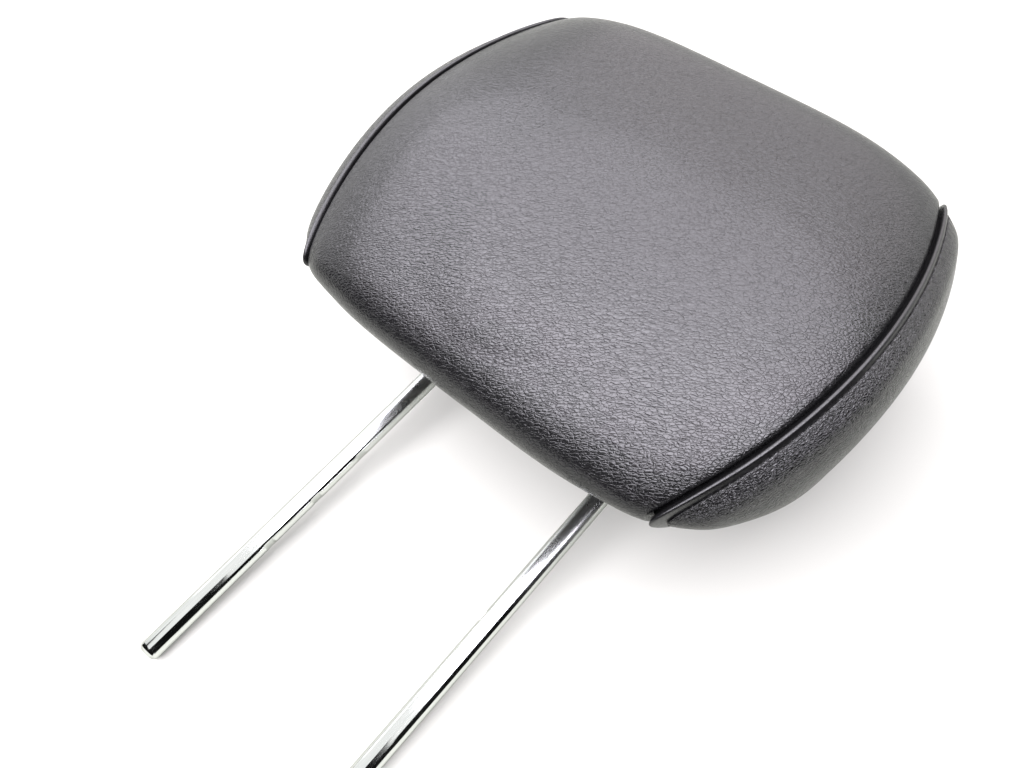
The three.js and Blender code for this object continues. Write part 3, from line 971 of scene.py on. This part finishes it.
def plated_steel():
    material, shader = start_material("zinc_plate", Metallic=1.0)
    place = object_place(material)
    grain = new_node(material, "ShaderNodeTexNoise", Scale=500.0, Detail=4.0)
    join(material, place, grain.inputs["Vector"])
    join(material, ramp(material, grain.outputs["Fac"],
                        [(0.3, (0.5, 0.51, 0.53)), (0.7, (0.68, 0.69, 0.7))]),
         shader.inputs["Base Color"])
    join(material, ramp(material, grain.outputs["Fac"], [(0.3, 0.25), (0.7, 0.42)]),
         shader.inputs["Roughness"])
    return material


node_finishes = {
    "foam_bun": open_foam(),
    "carrier_front": moulded_plastic("carrier_plastic", (0.03, 0.03, 0.032)),
    "closure_strip_front": moulded_plastic("strip_plastic", (0.018, 0.018, 0.019)),
    "carrier_screw_1": plated_steel(),
}
node_finishes["carrier_rear"] = node_finishes["carrier_front"]
node_finishes["closure_strip_rear"] = node_finishes["closure_strip_front"]
for number in (2, 3, 4):
    node_finishes[f"carrier_screw_{number}"] = node_finishes["carrier_screw_1"]
for node, material in node_finishes.items():
    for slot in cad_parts[node].material_slots:
        slot.material = material
print("engineering nodes finished:", len(node_finishes))

# %% [markdown]
# ## Floor
# The headrest lies on its back: the pad's back and both post tips touch one pale surface,
# which takes the soft shadows round the pad. That plane is found from the model. It shows only
# from the front, so that the back can be looked at too, and right behind the pad it fades to
# clear, which lets light reach the back.

# %% Find and lay the floor
FLOOR_SIZE = 3.6
FLOOR_GAP = 0.0004
CLEAR_HALF_WIDTH = 0.118
CLEAR_HALF_HEIGHT = 0.090
CLEAR_HEIGHT = 0.318
CLEARING = [(0.0, 0.0), (0.2, 0.3), (0.5, 1.0)]
FLOOR_COLOUR = (0.53, 0.518, 0.513)
FLOOR_IN_REFLECTIONS = (0.41, 0.41, 0.39)
FLOOR_GLOW = 0.12

pad_points = np.concatenate([vertex_array(o) for o in (centre, side_left, side_right)])
tip = np.array([POST_RADIUS * MM, (TIP_CHAMFER - POST_LENGTH) * MM])
leans = (pad_points[:, 1] - tip[0]) / (pad_points[:, 2] - tip[1])
lean = math.atan(leans.max())
floor_material, floor_shader = start_material("pale_floor", Roughness=1.0, Specular_IOR_Level=0.0)
floor_shader.inputs["Emission Color"].default_value = (1, 1, 1, 1)
path_kind = new_node(floor_material, "ShaderNodeLightPath")
join(floor_material, ramp(floor_material, path_kind.outputs["Is Glossy Ray"],
                          [(0.0, FLOOR_COLOUR), (1.0, FLOOR_IN_REFLECTIONS)]),
     floor_shader.inputs["Base Color"])
glow = new_node(floor_material, "ShaderNodeMath", operation="MULTIPLY")
glow.inputs[1].default_value = FLOOR_GLOW
join(floor_material, path_kind.outputs["Is Camera Ray"], glow.inputs[0])
join(floor_material, glow.outputs["Value"], floor_shader.inputs["Emission Strength"])
behind_place = new_node(floor_material, "ShaderNodeTexCoord")
behind_pad = new_node(floor_material, "ShaderNodeMapping",
                      Scale=(1 / CLEAR_HALF_WIDTH, 1 / CLEAR_HALF_HEIGHT, 1),
                      Location=(0, -CLEAR_HEIGHT / CLEAR_HALF_HEIGHT, 0))
join(floor_material, behind_place.outputs["Object"], behind_pad.inputs["Vector"])
spot = new_node(floor_material, "ShaderNodeTexGradient", gradient_type="SPHERICAL")
join(floor_material, behind_pad.outputs["Vector"], spot.inputs["Vector"])
clear = new_node(floor_material, "ShaderNodeBsdfTransparent")
side = new_node(floor_material, "ShaderNodeNewGeometry")
clearness = new_node(floor_material, "ShaderNodeMath", operation="MAXIMUM")
join(floor_material, side.outputs["Backfacing"], clearness.inputs[0])
join(floor_material, ramp(floor_material, spot.outputs["Fac"], CLEARING), clearness.inputs[1])
either = new_node(floor_material, "ShaderNodeMixShader")
join(floor_material, clearness.outputs["Value"], either.inputs["Fac"])
join(floor_material, floor_shader.outputs["BSDF"], either.inputs[1])
join(floor_material, clear.outputs["BSDF"], either.inputs[2])
join(floor_material, either.outputs["Shader"],
     floor_material.node_tree.nodes["Material Output"].inputs["Surface"])

bpy.ops.object.select_all(action="DESELECT")
bpy.ops.mesh.primitive_plane_add(size=FLOOR_SIZE, location=(0, tip[0] + FLOOR_GAP, tip[1]),
                                 rotation=(math.pi / 2 - lean, 0, 0))
floor = bpy.context.active_object
floor.name = "floor"
floor.data.materials.append(floor_material)
print("floor leans back by", round(math.degrees(lean), 2), "degrees")

# %% [markdown]
# ## Light
# One large soft box hangs over the face and gives the leather its broad grey sheen, and three
# smaller ones even it out. These four act in reflections only. A wide box low in front lights
# the floor and throws the shadows, and a weak one behind lights the back. The world is plain
# white. Dark cards that only reflections see stand in for the unlit part of a studio: without
# them a black leather pad and chrome posts would mirror white from everywhere and lose their
# form.

# %% White world
world = bpy.data.worlds.new("studio")
scene.world = world
world.use_nodes = True
world_nodes = world.node_tree.nodes
backdrop = world_nodes["Background"]
path = world_nodes.new("ShaderNodeLightPath")
BACKDROP_LEVEL = 1.0
AMBIENT_LEVEL = 0.86
first = world_nodes.new("ShaderNodeMath")
first.operation = "MAXIMUM"
second = world_nodes.new("ShaderNodeMath")
second.operation = "MAXIMUM"
level = world_nodes.new("ShaderNodeMapRange")
level.inputs["To Min"].default_value = AMBIENT_LEVEL
level.inputs["To Max"].default_value = BACKDROP_LEVEL
links = world.node_tree.links
links.new(path.outputs["Is Camera Ray"], first.inputs[0])
links.new(path.outputs["Is Glossy Ray"], first.inputs[1])
links.new(first.outputs["Value"], second.inputs[0])
links.new(path.outputs["Is Transmission Ray"], second.inputs[1])
links.new(second.outputs["Value"], level.inputs["Value"])
links.new(level.outputs["Result"], backdrop.inputs["Strength"])
backdrop.inputs["Color"].default_value = (1, 1, 1, 1)

print("world strength:", BACKDROP_LEVEL, "where it is seen,", AMBIENT_LEVEL, "elsewhere")

# %% [markdown]
# A lamp or a card is placed by its direction and distance from the pad, as on a stand, and
# turned to face it. The camera sees neither, and the cards also cast no shadow.

# %% Helpers for lamps and cards
PAD_MIDDLE = Vector((0, -60, 75)) * MM


def aim(obj, place, target):
    obj.location = place
    obj.rotation_mode = "QUATERNION"
    obj.rotation_quaternion = (target - place).to_track_quat("-Z", "Y")


def soft_box(name, towards, distance, width, height, power, colour=(1, 1, 1)):
    data = bpy.data.lights.new(name, "AREA")
    data.shape = "RECTANGLE"
    data.size, data.size_y = width, height
    data.energy = power
    data.color = colour
    lamp = bpy.data.objects.new(name, data)
    scene.collection.objects.link(lamp)
    aim(lamp, PAD_MIDDLE + Vector(towards).normalized() * distance, PAD_MIDDLE)
    lamp.visible_camera = False
    return lamp


def direction(azimuth, elevation):
    azimuth, elevation = math.radians(azimuth), math.radians(elevation)
    level = math.cos(elevation)
    return (level * math.sin(azimuth), -level * math.cos(azimuth), math.sin(elevation))


card_material, _ = start_material("dark_card", Roughness=1.0, Specular_IOR_Level=0.0,
                                  Base_Color=(0.004, 0.004, 0.004, 1))


def dark_card(name, width, height):
    bpy.ops.object.select_all(action="DESELECT")
    bpy.ops.mesh.primitive_plane_add(size=1)
    card = bpy.context.active_object
    card.name = name
    card.data.materials.append(card_material)
    card.data.transform(Matrix.Diagonal((width, height, 1, 1)))
    card.visible_camera = False
    card.visible_diffuse = False
    card.visible_shadow = False
    return card


def aimed_card(name, towards, distance, width, height, target=PAD_MIDDLE):
    card = dark_card(name, width, height)
    aim(card, target + Vector(towards).normalized() * distance, target)


# %% [markdown]
# The sheen box is wide enough to mirror in the whole face, and the cards below it and to its
# right end that sheen where the pad turns under and at the side seam. One small card before
# the posts and one close beside the pad draw the dark stripe down each post.

# %% Set up the lamps and cards
SHEEN_TINT = (0.965, 0.93, 1.03)
WARM_TINT = (1.06, 0.94, 1.0)
sheen_lamps = [
    soft_box("sheen_box", direction(-2, 17), distance=1.05, width=3.2, height=1.08, power=45,
             colour=SHEEN_TINT),
    soft_box("low_box", direction(16, 1), distance=0.98, width=2.1, height=0.42, power=10,
             colour=SHEEN_TINT),
    soft_box("left_box", direction(-88, 8), distance=1.2, width=1.0, height=1.1, power=1.6,
             colour=SHEEN_TINT),
    soft_box("upper_box", direction(-12, 62), distance=1.25, width=1.6, height=0.8, power=4,
             colour=WARM_TINT),
]
for lamp in sheen_lamps:
    lamp.visible_diffuse = False
floor_box = soft_box("floor_box", direction(-14, -16), distance=3.0, width=3.4, height=3.4,
                     power=262)
floor_box.visible_glossy = False
soft_box("back_box", (0.3, 1, 0.5), distance=1.6, width=1.2, height=1.2, power=10)

POST_END = Vector((0, 0, -200)) * MM
BESIDE_PLACE = (0.30, -0.11, 0.0)
aimed_card("card_below", direction(18, -44), distance=2.0, width=7.0, height=1.72)
aimed_card("card_below_left", direction(-66, -38), distance=2.0, width=1.7, height=1.5)
aimed_card("card_right", direction(83, 12), distance=1.9, width=2.0, height=2.3)
aimed_card("card_before_posts", direction(36, -11), distance=0.62, width=0.56, height=0.23,
           target=POST_END)
card_beside = dark_card("card_beside", width=0.36, height=0.26)
card_beside.location = BESIDE_PLACE
card_beside.rotation_euler = (0, math.pi / 2, 0)
print("lamps:", len(sheen_lamps) + 2, "and five dark cards")

# %% [markdown]
# ## Attach the pieces
# Each new piece rides on the only body, and the engineering node that it replaces is hidden.

dressed = [
    (centre, "centre_panel", "cover_leather"),
    (side_left, "side_panel_left", "cover_leather"),
    (side_right, "side_panel_right", "cover_leather"),
    (welt_left, "seam_welt_left", "welt_leather"),
    (welt_right, "seam_welt_right", "welt_leather"),
    (rod, "post_frame", "post_chrome"),
]
for piece, node, slot in dressed:
    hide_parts(node)
    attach(piece, "root")
for piece in (stitches_left, stitches_right):
    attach(piece, "root")

scene.view_settings.view_transform = "Standard"
